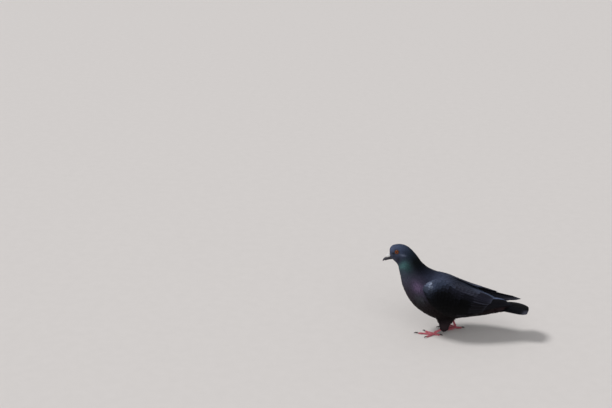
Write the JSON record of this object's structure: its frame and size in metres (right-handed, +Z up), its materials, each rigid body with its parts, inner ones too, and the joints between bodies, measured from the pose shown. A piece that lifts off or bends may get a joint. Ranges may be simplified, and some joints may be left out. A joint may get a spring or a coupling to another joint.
{
  "type": "pigeon",
  "caption": "Life-size dark feral pigeon standing in mid-stride with its wings folded and its head up, a still model of the living bird.",
  "frame": {"origin": "on the floor, under the middle of the bird's length and width", "axes": "+Z up, -X the way the bird faces, -Y the bird's left side"},
  "size_m": [0.3074, 0.1008, 0.1924],
  "materials": {
    "head_feathers": "soft slate-blue feathers",
    "neck_feathers": "glossy feathers, green above and violet below",
    "body_feathers": "soft blue-black feathers",
    "wing_coverts": "smooth blue-black feathers",
    "flight_feathers": "firm brown-black feathers",
    "tail_feathers": "firm black feathers",
    "leg_feathers": "short downy feathers",
    "red_scales": "dull scaly skin",
    "claw_horn": "dull dark horn",
    "bill_horn": "dull dark horn",
    "cere_skin": "powdery white skin",
    "eye_iris": "wet orange eye",
    "lid_skin": "bare grey skin"
  },
  "bodies": {
    "root": {"bill_lower": "bill_horn", "bill_upper": "bill_horn", "cere_left": "cere_skin", "cere_right": "cere_skin", "eye_left": "eye_iris", "eye_right": "eye_iris", "head": "head_feathers", "leg_left_claw_1": "claw_horn", "leg_left_claw_2": "claw_horn", "leg_left_claw_3": "claw_horn", "leg_left_claw_4": "claw_horn", "leg_left_shank": "red_scales", "leg_left_thigh": "leg_feathers", "leg_left_toe_1": "red_scales", "leg_left_toe_2": "red_scales", "leg_left_toe_3": "red_scales", "leg_left_toe_4": "red_scales", "leg_right_claw_1": "claw_horn", "leg_right_claw_2": "claw_horn", "leg_right_claw_3": "claw_horn", "leg_right_claw_4": "claw_horn", "leg_right_shank": "red_scales", "leg_right_thigh": "leg_feathers", "leg_right_toe_1": "red_scales", "leg_right_toe_2": "red_scales", "leg_right_toe_3": "red_scales", "leg_right_toe_4": "red_scales", "lid_left": "lid_skin", "lid_right": "lid_skin", "neck": "neck_feathers", "rump": "body_feathers", "tail": "tail_feathers", "trunk": "body_feathers", "wing_left_coverts": "wing_coverts", "wing_left_primaries": "flight_feathers", "wing_left_secondaries": "flight_feathers", "wing_right_coverts": "wing_coverts", "wing_right_primaries": "flight_feathers", "wing_right_secondaries": "flight_feathers"}
  },
  "joints": []
}
